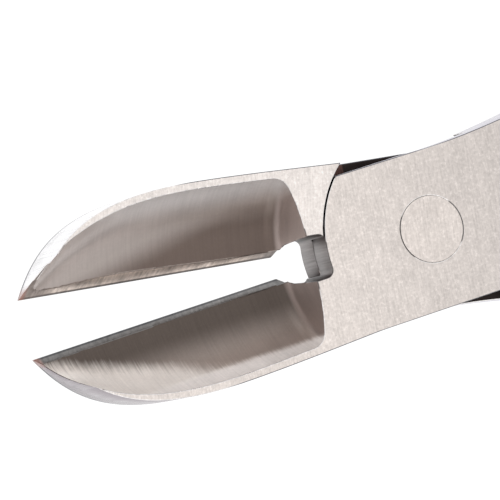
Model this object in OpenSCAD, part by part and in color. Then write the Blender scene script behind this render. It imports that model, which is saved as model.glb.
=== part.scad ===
// Toenail nipper with a lap joint, two leaf springs and a wire catch on the handle ends.
// The tool lies on its back face. Its pivot axis is Z, its tips point along -X and its
// handles along +X. Each half is drawn in its closed place, and then turned about the pivot.
// Sizes are in millimetres.

/* [Joint] */
// Thickness of the tool at its joint, jaws and handles
joint_t = 5.5; // [4.6:0.1:6.6]
// Width across the joint
joint_w = 12; // [10:0.1:14.4]
// Radius of the round ends of each lap plate
lap_r = 8.55; // [8.2:0.05:10.5]
// Gap between a lap plate's round end and the shoulder that it turns in
shoulder_gap = 0.12; // [0.08:0.01:0.3]
// Gap between the two lap plates' flat faces
lap_gap = 0.04; // [0.02:0.01:0.1]
// Angle between the cutting edges as the tool lies open at rest
rest_angle = 8.16; // [6:0.1:12]

/* [Pivot rivet] */
// Diameter of the rivet's countersunk heads, flush with both faces
rivet_head_d = 5; // [4.6:0.1:6]
// Diameter of the rivet's shank
rivet_d = 3.8; // [3.2:0.1:4.4]
// Depth of each countersunk head
rivet_head_h = 0.9; // [0.6:0.1:1.2]
// Radial running clearance of the rivet in the front half
rivet_run = 0.03; // [0.01:0.01:0.08]
// Radial gap round the rivet in the rear half, which holds it fast
rivet_fit = 0.01; // [0.005:0.005:0.02]

/* [Jaws] */
// Length from the pivot to the tips
jaw_l = 31.3; // [29:0.1:38]
// Widest half width of the pair of jaws
jaw_w = 6.38; // [6.1:0.02:7.2]
// Distance from the pivot to where the jaws are widest
jaw_belly = 18; // [16:0.5:20]
// Length of the necks, from the lap plate's end to the end wall of the hollow
neck_l = 1.35; // [1.2:0.05:2.5]
// Distance from the hollow's end wall to the heel of the cutting edge
heel_l = 1.2; // [0.8:0.1:2]
// Half of the throat's width between the two necks
throat = 1; // [0.6:0.05:1.2]
// Gap left between each cutting edge and the middle plane when closed
edge_gap = 0.03; // [0.01:0.01:0.1]

/* [Hollow] */
// Width of the rim left beside the hollow where the jaws are widest
rim_w = 0.6; // [0.4:0.05:1]
// Thickness left at the middle of the hollow, above the back face
hollow_floor = 1.05; // [0.9:0.05:1.6]
// Radius of the fillet between the hollow's end wall and its side
hollow_fillet = 1.2; // [0.5:0.1:1.5]
// Radius of the domed end wall
dome_r = 17; // [14:1:30]
// Width of the sharpening bevel along each cutting edge
bevel_w = 0.45; // [0.3:0.05:0.6]
// Height of the cutting edge above the back face
edge_z = 0.35; // [0.2:0.05:0.6]

/* [Handles] */
// Distance from the pivot to the centre of a handle's round end
handle_l = 105; // [87:1:126]
// Distance from the middle plane to the centre of a handle's round end, when closed
handle_end_y = 6; // [5.6:0.1:8]
// Radius of a handle's round end
handle_end_r = 3.1; // [2.8:0.1:3.4]
// How far the handles bow outwards between the joint and their ends
handle_bow = 23; // [20:0.5:28]
// Width of a handle in its middle
handle_w = 6.4; // [5.8:0.1:7.2]

/* [Leaf springs] */
// Distance along a handle from the pivot to its spring's screw
spring_x = 66; // [58:1:72]
// Distance from the pivot to where the two springs hook together
spring_tip_x = 27; // [24:1:34]
// Thickness of the spring strip
spring_t = 0.8; // [0.6:0.05:1]
// Width of the spring strip
spring_w = 3.6; // [3.2:0.1:4]
// Length of the flat seat that the spring is screwed to
seat_l = 9; // [8:0.5:11]
// Depth of that seat in the handle's inner edge
seat_h = 0.35; // [0.2:0.05:0.5]
// How far the seat runs on under the spring, towards the joint
seat_run = 6; // [5:0.5:8]
// Width of the tongue on the front spring
tongue_w = 1.5; // [1.2:0.1:1.8]
// Clearance beside the tongue in the fork of the rear spring
fork_gap = 0.3; // [0.2:0.05:0.5]

/* [Spring screws] */
// Shank diameter
screw_d = 2; // [1.6:0.1:2.4]
// Head diameter
screw_head_d = 3.2; // [3:0.1:3.6]
// Head height
screw_head_h = 0.9; // [0.7:0.1:1.2]
// Depth of the screw in the handle
screw_depth = 4; // [3:0.25:4.5]
// Width of the driver slot
slot_w = 0.5; // [0.4:0.05:0.6]

/* [Wire catch] */
// Diameter of the catch's wire
wire_d = 1; // [0.9:0.05:1.2]
// Clearance between the catch and the handles
wire_gap = 0.12; // [0.08:0.01:0.2]
// Angle between the stowed catch and the middle plane
stow_angle = 31; // [30:1:36]
// Angle past square at which the hooked catch's bar lies behind the front handle's end
hook_angle = 6; // [4:0.5:8]
// Length of the slopes that lead down to the handles' thin ends
slope_l = 8; // [5:1:12]

/* [Hidden] */
$fn = 96;
eps = 0.01;
steps = 24;
arc_steps = 8;

half_w = joint_w / 2;
mid_z = joint_t / 2;
shoulder_r = lap_r + shoulder_gap;
half_rest = rest_angle / 2;

// Hollow: a wheel whose axis runs along X above the middle plane grinds both jaws at once
hollow_end = lap_r + neck_l;
heel_x = hollow_end + heel_l;
hollow_depth = joint_t - hollow_floor;
hollow_r = (pow(jaw_w - rim_w, 2) + pow(hollow_depth, 2)) / (2 * hollow_depth);
hollow_z = hollow_floor + hollow_r;
bevel_z = hollow_z - sqrt(hollow_r * hollow_r - bevel_w * bevel_w);

// Jaw outline: the tip rises steeply and then runs level into the belly
tip_rise = 62;
tip_pull = 4.2;
belly_pull = 8.6;

// Handle ends are ground thinner on both faces, so that the catch lies flush
wire_r = wire_d / 2;
end_z = wire_d + wire_gap;
catch_r = 2 * handle_end_y + handle_end_r + wire_r + 4 * wire_gap;
thin_l = catch_r + wire_d;

// Point on a cubic curve with the four control points p, at t from 0 to 1
function bez(p, t) = pow(1 - t, 3) * p[0] + 3 * pow(1 - t, 2) * t * p[1]
    + 3 * (1 - t) * t * t * p[2] + pow(t, 3) * p[3];
// Direction of that curve
function bez_dir(p, t) = let (d = 3 * pow(1 - t, 2) * (p[1] - p[0]) + 6 * (1 - t) * t * (p[2] - p[1])
    + 3 * t * t * (p[3] - p[2])) d / norm(d);
// The curve as a list of points
function curve(p) = [for (i = [0:steps]) bez(p, i / steps)];
// The vector turned a quarter turn to its left
function left(v) = [-v[1], v[0]];
function turned(v, a) = [v[0] * cos(a) - v[1] * sin(a), v[0] * sin(a) + v[1] * cos(a)];

// Upper jaw, seen from the front
jaw_curve = [[-jaw_l, edge_gap], [-jaw_l + tip_pull * cos(tip_rise), edge_gap + tip_pull * sin(tip_rise)],
             [-jaw_belly - belly_pull, jaw_w], [-jaw_belly, jaw_w]];
// Upper handle: its outer and inner edges
outer_curve = [[0, half_w], [20, half_w + 0.1], [handle_l / 2, handle_bow],
               [handle_l, handle_end_y + handle_end_r]];
inner_curve = [[lap_r - 0.1, throat], [24, throat + 0.6], [handle_l / 2 + 5, handle_bow - handle_w],
               [handle_l, handle_end_y - handle_end_r]];
// Where the inner edge reaches the spring's screw
seat_t = (spring_x - lap_r) / (handle_l - lap_r) + 0.1;
seat_p = bez(inner_curve, seat_t);
seat_d = bez_dir(inner_curve, seat_t);
seat_a = atan2(seat_d[1], seat_d[0]);

// Leaf spring's middle line in the closed place of the upper handle: straight on its seat, then curved
tip_over = 0.9;
seat_pull = [10, 2.6];
tip_pull_in = [13, 4];
spring_line = seat_p + left(seat_d) * (seat_h - spring_t / 2);
spring_base = spring_line - seat_d * seat_l / 2;
spring_tip = turned([spring_tip_x, -tip_over], -half_rest);
spring_curve = [spring_base, spring_base - seat_d * seat_pull[0] - left(seat_d) * seat_pull[1],
                spring_tip + tip_pull_in, spring_tip];
spring_side = left(seat_d) * spring_t / 2;
// Height on either side of the middle plane within which the tips are narrowed
hook_y = 1.7;

module jaw_plan() {
    polygon(concat(
        curve(jaw_curve),
        [[-hollow_end, (jaw_w + half_w) / 2], [-lap_r * 0.72, half_w], [0, half_w], [0, throat]],
        [[-hollow_end, throat], [-heel_x + 0.5, throat * 0.7], [-heel_x, edge_gap]]));
}

module handle_plan() {
    polygon(concat(
        curve(outer_curve),
        [for (i = [steps:-1:0]) bez(inner_curve, i / steps)],
        [[0, throat]]));
    translate([handle_l, handle_end_y]) circle(handle_end_r);
}

// The lap plate: a disc with two flat sides
module lap_plan() {
    intersection() {
        circle(lap_r);
        square([3 * lap_r, joint_w], center = true);
    }
}

// The grinding wheel that leaves the hollow. Its end at the neck is domed, and a fillet that
// touches both the dome and the side rounds its corner.
module hollow_cut() {
    fillet = [hollow_r - hollow_fillet,
              dome_r - sqrt(pow(dome_r - hollow_fillet, 2) - pow(hollow_r - hollow_fillet, 2))];
    meet = asin(fillet[0] / (dome_r - hollow_fillet));
    translate([-hollow_end, 0, hollow_z]) rotate([0, -90, 0]) rotate_extrude() polygon(concat(
        [[0, 2 * jaw_l], [0, 0]],
        [for (i = [1:arc_steps]) let (a = meet * i / arc_steps) [dome_r * sin(a), dome_r * (1 - cos(a))]],
        [for (i = [1:arc_steps]) let (a = meet + (90 - meet) * i / arc_steps)
            fillet + hollow_fillet * [sin(a), -cos(a)]],
        [[hollow_r, 2 * jaw_l]]));
}

// The sharpening bevel along the upper cutting edge
module bevel_cut() {
    translate([-hollow_end, 0, 0]) rotate([90, 0, -90]) linear_extrude(2 * jaw_l)
        polygon([[-1, edge_z], [edge_gap, edge_z], [bevel_w, bevel_z], [bevel_w, hollow_z], [-1, hollow_z]]);
}

// Upper jaw with its neck, full thickness
module jaw() {
    difference() {
        linear_extrude(joint_t) jaw_plan();
        hollow_cut();
        bevel_cut();
    }
}

// The seat and the blind hole for the spring's screw, placed on the upper handle
module on_seat() {
    translate([seat_p[0], seat_p[1], mid_z]) rotate([0, 0, seat_a]) children();
}

// What is ground off the back of the handle's end, with the slope that leads down to it
module thin_cut() {
    x = handle_l - thin_l;
    translate([0, joint_w + handle_bow, 0]) rotate([90, 0, 0]) linear_extrude(joint_w + handle_bow)
        polygon([[x - slope_l, 0], [x, end_z], [x + 2 * thin_l, end_z], [x + 2 * thin_l, -1], [x - slope_l, -1]]);
}

// Upper handle, with its spring seat and its thin end
module handle() {
    difference() {
        linear_extrude(joint_t) handle_plan();
        on_seat() {
            translate([-seat_l / 2 - seat_run, seat_h - handle_w, -joint_t])
                cube([seat_l + seat_run, handle_w, 2 * joint_t]);
            rotate([-90, 0, 0]) cylinder(d = screw_d, h = seat_h + screw_depth);
        }
        thin_cut();
        translate([0, 0, joint_t]) mirror([0, 0, 1]) thin_cut();
    }
}

// Lower jaw, upper handle and their lap plate from z0 to z1. The other half's lap plate turns
// in the round shoulders that are cut from cut0 to cut1.
module half(z0, z1, cut0, cut1) {
    difference() {
        union() {
            mirror([0, 1, 0]) jaw();
            handle();
        }
        translate([0, 0, cut0]) cylinder(r = shoulder_r, h = cut1 - cut0);
    }
    translate([0, 0, z0]) linear_extrude(z1 - z0) lap_plan();
}

// The rivet's body, swollen all round by a clearance
module rivet_body(gap) {
    head_r = rivet_head_d / 2 + gap;
    shank_r = rivet_d / 2 + gap;
    cylinder(r = shank_r, h = joint_t);
    cylinder(r1 = head_r, r2 = shank_r, h = rivet_head_h);
    translate([0, 0, joint_t - rivet_head_h]) cylinder(r1 = shank_r, r2 = head_r, h = rivet_head_h);
}

// One side of the leaf spring's strip, along its curve
function strip_side(s) = [for (i = [1:steps])
    bez(spring_curve, i / steps) + left(bez_dir(spring_curve, i / steps)) * s * spring_t / 2];

// Leaf spring of the upper handle, whole to its tip
module leaf() {
    heel = spring_line + seat_d * seat_l / 2;
    difference() {
        translate([0, 0, mid_z]) linear_extrude(spring_w, center = true) polygon(concat(
            [heel - spring_side, heel + spring_side, spring_base + spring_side],
            strip_side(-1), [for (i = [steps - 1:-1:0]) strip_side(1)[i]],
            [spring_base - spring_side]));
        on_seat() rotate([90, 0, 0]) cylinder(d = screw_d + 0.2, h = 4 * spring_t, center = true);
    }
}

// Screw that holds the spring of the upper handle
module spring_screw() {
    on_seat() difference() {
        union() {
            translate([0, seat_h - spring_t - screw_head_h, 0]) rotate([-90, 0, 0])
                cylinder(d = screw_head_d, h = screw_head_h);
            translate([0, seat_h - spring_t, 0]) rotate([-90, 0, 0])
                cylinder(d = screw_d - 0.04, h = spring_t + screw_depth - 0.2);
        }
        translate([-screw_head_d, seat_h - spring_t - screw_head_h - eps, -slot_w / 2])
            cube([2 * screw_head_d, screw_head_h / 2, slot_w]);
    }
}

// The front half: lower jaw, front lap plate and upper handle
module front_half() {
    color([0.87, 0.84, 0.81]) rotate([0, 0, half_rest]) difference() {
        half(mid_z + lap_gap / 2, joint_t, -eps, mid_z + lap_gap / 2);
        rivet_body(rivet_run);
        catch_notch();
    }
}

// The rear half: upper jaw, rear lap plate and lower handle
module rear_half() {
    color([0.84, 0.81, 0.79]) rotate([0, 0, -half_rest]) difference() {
        mirror([0, 1, 0]) half(0, mid_z - lap_gap / 2, mid_z - lap_gap / 2, joint_t + eps);
        rivet_body(rivet_fit);
        translate([handle_l, -handle_end_y, 0]) cylinder(d = wire_d + wire_gap, h = joint_t);
    }
}

module pivot_rivet() {
    color([0.85, 0.83, 0.8]) rivet_body(0);
}

module front_leaf_spring() {
    color([0.7, 0.7, 0.72]) difference() {
        rotate([0, 0, half_rest]) leaf();
        for (s = [-1, 1])
            translate([0, -jaw_l + hook_y, mid_z + s * (tongue_w + spring_w) / 2])
                cube([3 * spring_tip_x, 2 * jaw_l, spring_w], center = true);
    }
}

module rear_leaf_spring() {
    color([0.7, 0.7, 0.72]) difference() {
        rotate([0, 0, -half_rest]) mirror([0, 1, 0]) leaf();
        translate([0, jaw_l - hook_y, mid_z])
            cube([3 * spring_tip_x, 2 * jaw_l, tongue_w + 2 * fork_gap], center = true);
    }
}

module front_spring_screw() {
    color([0.75, 0.74, 0.72]) rotate([0, 0, half_rest]) spring_screw();
}

module rear_spring_screw() {
    color([0.75, 0.74, 0.72]) rotate([0, 0, -half_rest]) mirror([0, 1, 0]) spring_screw();
}

// A shallow notch in the front handle's outer edge, where the catch's bar lies when hooked on
module catch_notch() {
    bar = [handle_l, -handle_end_y] + turned([0, catch_r], hook_angle);
    translate([bar[0], bar[1], 0]) cylinder(r = wire_r + 2 * wire_gap, h = joint_t);
}

// The catch: two legs, a bar across and two turned-in ends, in its stowed place
module handle_catch() {
    stowed = 180 + stow_angle;
    color([0.78, 0.78, 0.8]) rotate([0, 0, -half_rest]) translate([handle_l, -handle_end_y, 0])
        rotate([0, 0, stowed]) {
            for (z = [wire_r, joint_t - wire_r]) {
                translate([0, 0, z]) rotate([0, 90, 0]) cylinder(r = wire_r, h = catch_r);
                for (x = [0, catch_r]) translate([x, 0, z]) sphere(wire_r);
            }
            translate([catch_r, 0, wire_r]) cylinder(r = wire_r, h = joint_t - wire_d);
            for (z = [wire_r, joint_t - wire_r - end_z]) translate([0, 0, z]) cylinder(r = wire_r, h = end_z);
        }
}

front_half();
rear_half();
pivot_rivet();
front_leaf_spring();
rear_leaf_spring();
front_spring_screw();
rear_spring_screw();
handle_catch();
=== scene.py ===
"""Looks of a lap-joint toenail nipper: two ground steel halves, a flush rivet, springs and a catch.

Sizes are in millimetres and are turned into metres as each piece is made. Each half is drawn in
its closed place, with its jaw below and its handle above, and is then turned open about the pivot.
"""

import logging
import math
from collections.abc import Iterator
from contextlib import contextmanager
from dataclasses import dataclass, field
from enum import Enum
from functools import cached_property

import bpy
from mathutils import Matrix, Vector


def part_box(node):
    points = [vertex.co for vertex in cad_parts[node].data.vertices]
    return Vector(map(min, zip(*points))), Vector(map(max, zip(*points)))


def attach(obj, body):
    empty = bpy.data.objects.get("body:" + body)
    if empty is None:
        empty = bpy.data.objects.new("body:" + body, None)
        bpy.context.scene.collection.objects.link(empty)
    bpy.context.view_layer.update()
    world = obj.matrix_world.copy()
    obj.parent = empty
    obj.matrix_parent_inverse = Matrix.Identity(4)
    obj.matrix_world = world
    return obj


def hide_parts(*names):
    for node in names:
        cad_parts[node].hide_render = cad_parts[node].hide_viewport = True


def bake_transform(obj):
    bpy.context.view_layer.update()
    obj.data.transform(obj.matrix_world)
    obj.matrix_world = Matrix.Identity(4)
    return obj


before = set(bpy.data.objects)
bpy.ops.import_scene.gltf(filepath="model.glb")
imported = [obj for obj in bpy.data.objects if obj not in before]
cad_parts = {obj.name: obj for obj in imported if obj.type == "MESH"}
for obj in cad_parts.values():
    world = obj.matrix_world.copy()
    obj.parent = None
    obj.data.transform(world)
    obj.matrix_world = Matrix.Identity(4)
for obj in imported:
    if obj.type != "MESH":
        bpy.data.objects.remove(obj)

log = logging.getLogger("nipper")

MM = 0.001
Point = tuple[float, float]
Colour = tuple[float, float, float]
Outline = list[Point]
Socket = bpy.types.NodeSocket

# Each half turns by this angle from shut to rest, in degrees.
REST_TURN = 4.08
# Control points of the handles' outer and inner edges, and the steps that each is drawn in.
OUTER_EDGE: Outline = [(0, 5.93), (24, 5.0), (52.5, 23), (105, 9.1)]
INNER_EDGE: Outline = [(8.45, 1.0), (24, 1.6), (57.5, 16.6), (105, 2.9)]
EDGE_STEPS = 400
# Corners nearer than this are one: in a new shape, after cuts, and before edges are broken.
WELD_NEW, WELD_CUT, WELD_EDGE = 0.0005, 0.002, 0.004
# Faces that differ by less than this angle, in degrees, are one flat face.
FLAT = 0.02
# Range that most of a Noise node's values lie in.
NOISE_LOW, NOISE_HIGH = 0.3, 0.7


class Body(Enum):
    """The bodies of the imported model."""

    REAR = "rear_lever"
    FRONT = "front_lever"
    CATCH = "catch"


class Region(Enum):
    """Kinds of surface on a ground half, each with its own finish."""

    FACE = 0
    SIDE = 1
    HOLLOW = 2
    BEVEL = 3
    MATING = 4
    THROAT = 5
    BREAK = 6


# ---------------------------------------------------------------- curves


def bez(points: list[Point], t: float) -> Vector:
    """Point on a cubic curve with four control points.

    Args:
        points: the control points.
        t: how far along, from 0 to 1.

    Returns:
        The point.
    """
    p = [Vector(q) for q in points]
    s = 1 - t
    return s**3 * p[0] + 3 * s * s * t * p[1] + 3 * s * t * t * p[2] + t**3 * p[3]


def heading(points: list[Point], t: float) -> Vector:
    """Direction of such a curve, as a unit vector."""
    step = 0.0005
    return (bez(points, t + step) - bez(points, t - step)).normalized()


def left(direction: Vector) -> Vector:
    """A direction turned a quarter turn to its left."""
    return Vector((-direction.y, direction.x))


def curve(points: list[Point], steps: int) -> Outline:
    """A cubic curve as a list of points."""
    return [tuple(bez(points, i / steps)) for i in range(steps + 1)]


def arc(centre: Point, radius: float, start: float, end: float, steps: int) -> Outline:
    """Points along an arc.

    Args:
        centre: the arc's centre.
        radius: its radius.
        start: angle of the first point, in degrees.
        end: angle of the last point, in degrees.
        steps: number of straight pieces.

    Returns:
        The points.
    """
    angles = [math.radians(start + (end - start) * i / steps) for i in range(steps + 1)]
    return [(centre[0] + radius * math.cos(a), centre[1] + radius * math.sin(a)) for a in angles]


def height_at(points: Outline, x: float) -> float:
    """Height of a line of points, in order of x, where it crosses x."""
    for (x0, y0), (x1, y1) in zip(points, points[1:]):
        if x0 <= x <= x1 and x1 > x0:
            return y0 + (y1 - y0) * (x - x0) / (x1 - x0)
    return points[-1][1] if x > points[-1][0] else points[0][1]


def smooth(t: float) -> float:
    """A smooth step from 0 to 1."""
    t = max(0.0, min(1.0, t))
    return t * t * (3 - 2 * t)


# ---------------------------------------------------------------- bench


class Bench:
    """The modelling steps that the pieces share."""

    @staticmethod
    def clear() -> None:
        """Deselects every object."""
        bpy.ops.object.select_all(action="DESELECT")

    @staticmethod
    def pick(obj: bpy.types.Object) -> None:
        """Makes one object the selected and active one."""
        Bench.clear()
        obj.select_set(True)
        bpy.context.view_layer.objects.active = obj

    @staticmethod
    @contextmanager
    def editing(obj: bpy.types.Object) -> Iterator[None]:
        """Keeps an object in edit mode, with all of it selected.

        Args:
            obj: the object.
        """
        Bench.pick(obj)
        bpy.ops.object.mode_set(mode="EDIT")
        bpy.ops.mesh.select_all(action="SELECT")
        yield
        bpy.ops.object.mode_set(mode="OBJECT")

    @staticmethod
    def ring(name: str, corners: list[Vector], filled: bool) -> bpy.types.Object:
        """Adds a circle and moves its corners into place.

        Args:
            name: the object's name.
            corners: the places of the corners, in millimetres.
            filled: whether it has a face.

        Returns:
            The new object.
        """
        Bench.clear()
        fill = "NGON" if filled else "NOTHING"
        bpy.ops.mesh.primitive_circle_add(vertices=len(corners), fill_type=fill)
        obj = bpy.context.object
        obj.name = name
        for vert, corner in zip(obj.data.vertices, corners):
            vert.co = Vector(corner) * MM
        return obj

    @staticmethod
    def outward(obj: bpy.types.Object) -> None:
        """Merges doubles and turns the faces outwards."""
        with Bench.editing(obj):
            bpy.ops.mesh.remove_doubles(threshold=WELD_NEW * MM)
            bpy.ops.mesh.normals_make_consistent(inside=False)

    @staticmethod
    def plate(name: str, outline: Outline, low: float, high: float) -> bpy.types.Object:
        """A flat plate with the given outline.

        Args:
            name: the object's name.
            outline: its corners, in millimetres.
            low: height of its back.
            high: height of its front.

        Returns:
            The plate.
        """
        obj = Bench.ring(name, [Vector((x, y, low)) for x, y in outline], True)
        with Bench.editing(obj):
            bpy.ops.mesh.extrude_region_move(TRANSFORM_OT_translate={"value": (0, 0, (high - low) * MM)})
        Bench.outward(obj)
        return obj

    @staticmethod
    def loft(name: str, rings: list[list[Vector]]) -> bpy.types.Object:
        """A closed solid through rings of corners, extruded from each to the next.

        Args:
            name: the object's name.
            rings: lists of corners, all of one length, in millimetres.

        Returns:
            The solid.
        """
        count = len(rings[0])
        turn = 2 * math.pi / count
        start = [Vector((0, math.cos(i * turn), math.sin(i * turn))) for i in range(count)]
        obj = Bench.ring(name, start, True)
        with Bench.editing(obj):
            for _ in rings[1:]:
                bpy.ops.mesh.extrude_region_move(TRANSFORM_OT_translate={"value": (MM, 0, 0)})
        levels: dict[int, list[bpy.types.MeshVertex]] = {}
        for vert in obj.data.vertices:
            levels.setdefault(round(vert.co.x / MM), []).append(vert)
        for level, ring in enumerate(rings):
            for vert, corner in zip(sorted(levels[level], key=lambda v: v.index), ring):
                vert.co = corner * MM
        Bench.outward(obj)
        return obj

    @staticmethod
    def tube(name: str, path: list[Vector], radius: float, sides: int = 20,
             end_share: float = 0.7) -> bpy.types.Object:
        """A round wire along a path, with its two ends drawn in.

        Args:
            name: the object's name.
            path: points on its middle line, in millimetres.
            radius: the wire's radius.
            sides: corners around it.
            end_share: size of its ends, as a share of its radius.

        Returns:
            The wire.
        """
        rings = []
        across = (path[1] - path[0]).orthogonal().normalized()
        last = len(path) - 1
        for i, point in enumerate(path):
            ahead = (path[min(i + 1, last)] - path[max(i - 1, 0)]).normalized()
            across = (across - ahead * across.dot(ahead)).normalized()
            over = ahead.cross(across)
            size = radius * (end_share if i in (0, last) else 1.0)
            angles = [2 * math.pi * k / sides for k in range(sides)]
            rings.append([point + (across * math.cos(a) + over * math.sin(a)) * size for a in angles])
        return Bench.loft(name, rings)

    @staticmethod
    def cylinder(radius: float, low: Vector, high: Vector, sides: int = 96) -> bpy.types.Object:
        """A plain round cutter between two points, in millimetres."""
        Bench.clear()
        axis = Vector(high) - Vector(low)
        bpy.ops.mesh.primitive_cylinder_add(
            vertices=sides, radius=radius * MM, depth=axis.length * MM,
            location=(Vector(low) + Vector(high)) / 2 * MM,
            rotation=axis.to_track_quat("Z", "Y").to_euler())
        bpy.ops.object.transform_apply(location=True, rotation=True, scale=True)
        return bpy.context.object

    @staticmethod
    def box(low: Vector, high: Vector) -> bpy.types.Object:
        """A plain square cutter between two corners, in millimetres."""
        Bench.clear()
        low, high = Vector(low), Vector(high)
        bpy.ops.mesh.primitive_cube_add(size=1, location=(low + high) / 2 * MM)
        bpy.context.object.scale = (high - low) * MM
        bpy.ops.object.transform_apply(location=True, rotation=True, scale=True)
        return bpy.context.object

    @staticmethod
    def spun(name: str, profile: list[Vector], axis: Vector, centre: Vector, steps: int) -> bpy.types.Object:
        """A closed profile spun a full turn.

        Args:
            name: the object's name.
            profile: its corners, in millimetres.
            axis: direction of the axis.
            centre: a point on the axis.
            steps: steps in the turn.

        Returns:
            The solid.
        """
        obj = Bench.ring(name, profile, False)
        with Bench.editing(obj):
            bpy.ops.mesh.spin(steps=steps, angle=2 * math.pi, center=Vector(centre) * MM, axis=axis)
        Bench.outward(obj)
        return obj

    @staticmethod
    def merge(obj: bpy.types.Object, other: bpy.types.Object, how: str) -> None:
        """Cuts or joins another solid into obj, and removes the other.

        Args:
            obj: the solid that is changed.
            other: the solid that is used up.
            how: the boolean operation.
        """
        Bench.pick(obj)
        mod = obj.modifiers.new("merge", "BOOLEAN")
        mod.operation, mod.solver, mod.object = how, "EXACT", other
        bpy.ops.object.modifier_apply(modifier=mod.name)
        bpy.data.objects.remove(other)

    @staticmethod
    def cut(obj: bpy.types.Object, other: bpy.types.Object) -> None:
        """Cuts another solid out of obj."""
        Bench.merge(obj, other, "DIFFERENCE")

    @staticmethod
    def finish(obj: bpy.types.Object, turn: float, mirrored: bool) -> None:
        """Turns a piece from its closed place to its place at rest.

        Args:
            obj: the piece.
            turn: the angle about the pivot, in degrees.
            mirrored: whether it is first mirrored to the other handle's side.
        """
        if mirrored:
            obj.data.transform(Matrix.Scale(-1, 4, (0, 1, 0)))
            Bench.outward(obj)
        Bench.pick(obj)
        obj.rotation_euler = (0, 0, math.radians(turn))
        bpy.ops.object.transform_apply(rotation=True)

    @staticmethod
    def tidy(obj: bpy.types.Object) -> None:
        """Joins flat faces that a cut or a union left in pieces."""
        with Bench.editing(obj):
            bpy.ops.mesh.remove_doubles(threshold=WELD_CUT * MM)
            bpy.ops.mesh.dissolve_limited(angle_limit=math.radians(FLAT))

    @staticmethod
    def soften(obj: bpy.types.Object, width: float, slot: int = -1, angle: float = 35) -> None:
        """Breaks a piece's sharp edges.

        Args:
            obj: the piece.
            width: width of the broken edge, in millimetres.
            slot: material slot of the broken edges.
            angle: least angle between the faces of an edge that is broken, in degrees.
        """
        with Bench.editing(obj):
            bpy.ops.mesh.remove_doubles(threshold=WELD_EDGE * MM)
        mod = obj.modifiers.new("soften", "BEVEL")
        mod.width, mod.segments, mod.limit_method = width * MM, 2, "ANGLE"
        mod.angle_limit = math.radians(angle)
        mod.use_clamp_overlap = False
        mod.material = slot
        bpy.ops.object.modifier_apply(modifier=mod.name)

    @staticmethod
    def level(obj: bpy.types.Object, low: float, high: float) -> None:
        """Brings corners that a broken edge pushed past two heights back to them."""
        for vert in obj.data.vertices:
            vert.co.z = min(max(vert.co.z, low * MM), high * MM)

    @staticmethod
    def grain(obj: bpy.types.Object) -> None:
        """Lays a flat map over each face, whose first direction runs along the tool."""
        with Bench.editing(obj):
            bpy.ops.uv.cube_project(cube_size=10 * MM)

    @staticmethod
    def shade(obj: bpy.types.Object, angle: float = 25) -> None:
        """Shades the faces smooth, apart from the edges sharper than an angle."""
        Bench.pick(obj)
        bpy.ops.object.shade_smooth_by_angle(angle=math.radians(angle))


# ---------------------------------------------------------------- finishes


class Desk:
    """Builds one material's nodes and links."""

    def __init__(self, name: str) -> None:
        """Starts a material with a Principled shader."""
        self.material = bpy.data.materials.new(name)
        self.material.use_nodes = True
        self.tree = self.material.node_tree
        self.shader = self.tree.nodes["Principled BSDF"]

    def add(self, kind: str, inputs: dict | None = None, **settings: object) -> bpy.types.Node:
        """Adds a node.

        Args:
            kind: the node's type.
            inputs: values or output sockets for its inputs.
            settings: the node's own properties.

        Returns:
            The node.
        """
        node = self.tree.nodes.new(kind)
        for key, value in settings.items():
            setattr(node, key, value)
        for key, value in (inputs or {}).items():
            self.put(node.inputs[key], value)
        return node

    def put(self, socket: Socket, value: object) -> None:
        """Links a socket, or sets its value."""
        if isinstance(value, Socket):
            self.tree.links.new(value, socket)
        else:
            socket.default_value = value

    def math(self, how: str, a: object, b: object = 0.0) -> Socket:
        """A Math node's result."""
        return self.add("ShaderNodeMath", {0: a, 1: b}, operation=how).outputs[0]

    def spread(self, value: object, low: float, high: float, to_low: float, to_high: float) -> Socket:
        """A value moved from one range to another, held at the ends."""
        return self.add("ShaderNodeMapRange", {"Value": value, "From Min": low, "From Max": high,
                                               "To Min": to_low, "To Max": to_high}).outputs["Result"]

    def swing(self, noise: Socket, low: float, high: float) -> Socket:
        """Noise moved from its usual range to another."""
        return self.spread(noise, NOISE_LOW, NOISE_HIGH, low, high)

    def noise(self, vector: Socket, scale: float, detail: float) -> Socket:
        """Noise with a scale in units of the coordinates."""
        return self.add("ShaderNodeTexNoise", {"Vector": vector, "Scale": scale, "Detail": detail,
                                               "Roughness": 0.6}).outputs[0]

    def blend(self, share: object, a: object, b: object, how: str = "MIX") -> Socket:
        """Two colours mixed."""
        node = self.add("ShaderNodeMix", data_type="RGBA", blend_type=how)
        self.put(node.inputs[0], share)
        self.put(node.inputs[6], a)
        self.put(node.inputs[7], b)
        return node.outputs[2]


@dataclass(frozen=True)
class Ramp:
    """A share that grows from 0 to 1 along a direction, in millimetres of the closed half."""

    along: tuple[float, float, float]
    start: float
    end: float


@dataclass(frozen=True)
class Shade:
    """A colour laid over a finish where all of its ramps are high."""

    colour: Colour
    ramps: tuple[Ramp, ...]
    strength: float = 1.0
    ragged: float = 0.0
    dull: float = 0.0


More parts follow.
